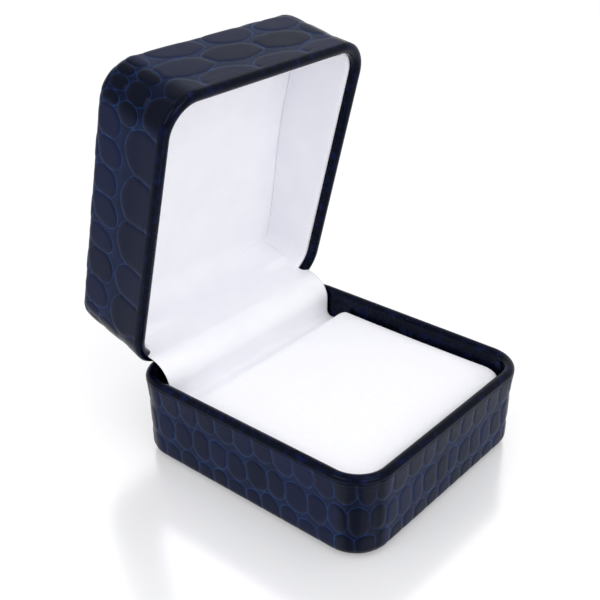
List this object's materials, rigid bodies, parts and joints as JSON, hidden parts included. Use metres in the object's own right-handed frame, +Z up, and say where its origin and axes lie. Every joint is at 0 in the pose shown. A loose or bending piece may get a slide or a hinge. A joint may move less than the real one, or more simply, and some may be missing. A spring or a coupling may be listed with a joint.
{
  "type": "cufflink display box",
  "caption": "Small hinged display box with a crocodile-embossed cover, satin lid lining, snap hinge and a lift-out flocked pad.",
  "frame": {"origin": "centre of the underside of the base", "axes": "+Z up, +X along the hinge, +Y towards the hinge at the back, lid open"},
  "size_m": [0.0706, 0.0937, 0.1017],
  "materials": {
    "core": "moulded",
    "leatherette": "glossy, crocodile-embossed",
    "sole_paper": "matt, fine leather grain",
    "steel": "bright zinc plate",
    "satin": "satin weave",
    "flock": "short flock",
    "card": "grey board",
    "foam": "soft foam"
  },
  "bodies": {
    "base": {"base_shell": "core", "base_wrap": "leatherette", "base_sole": "sole_paper", "base_leaf": "steel", "base_rivets": "steel", "hinge_pin": "steel", "snap_spring": "steel", "riser_block": "foam", "hinge_flap": "satin"},
    "pad": {"pad_card": "card", "pad_foam": "foam", "pad_cover": "flock"},
    "lid": {"lid_shell": "core", "lid_wrap": "leatherette", "lid_leaf": "steel", "lid_rivets": "steel", "lid_card": "card", "lid_wadding": "foam", "lid_lining": "satin", "left_cheek_card": "card", "left_cheek_satin": "satin", "right_cheek_card": "card", "right_cheek_satin": "satin"}
  },
  "joints": [
    {"name": "lid_hinge", "type": "hinge", "parent": "base", "child": "lid", "pos_m": [0, 0.0359, 0.0248], "axis": [1, 0, 0], "range_deg": [0, 76], "deforming": ["hinge_flap", "snap_spring"]},
    {"name": "pad_lift", "type": "slide", "parent": "base", "child": "pad", "axis": [0, 0, 1], "range_m": [0, 0.014]}
  ]
}
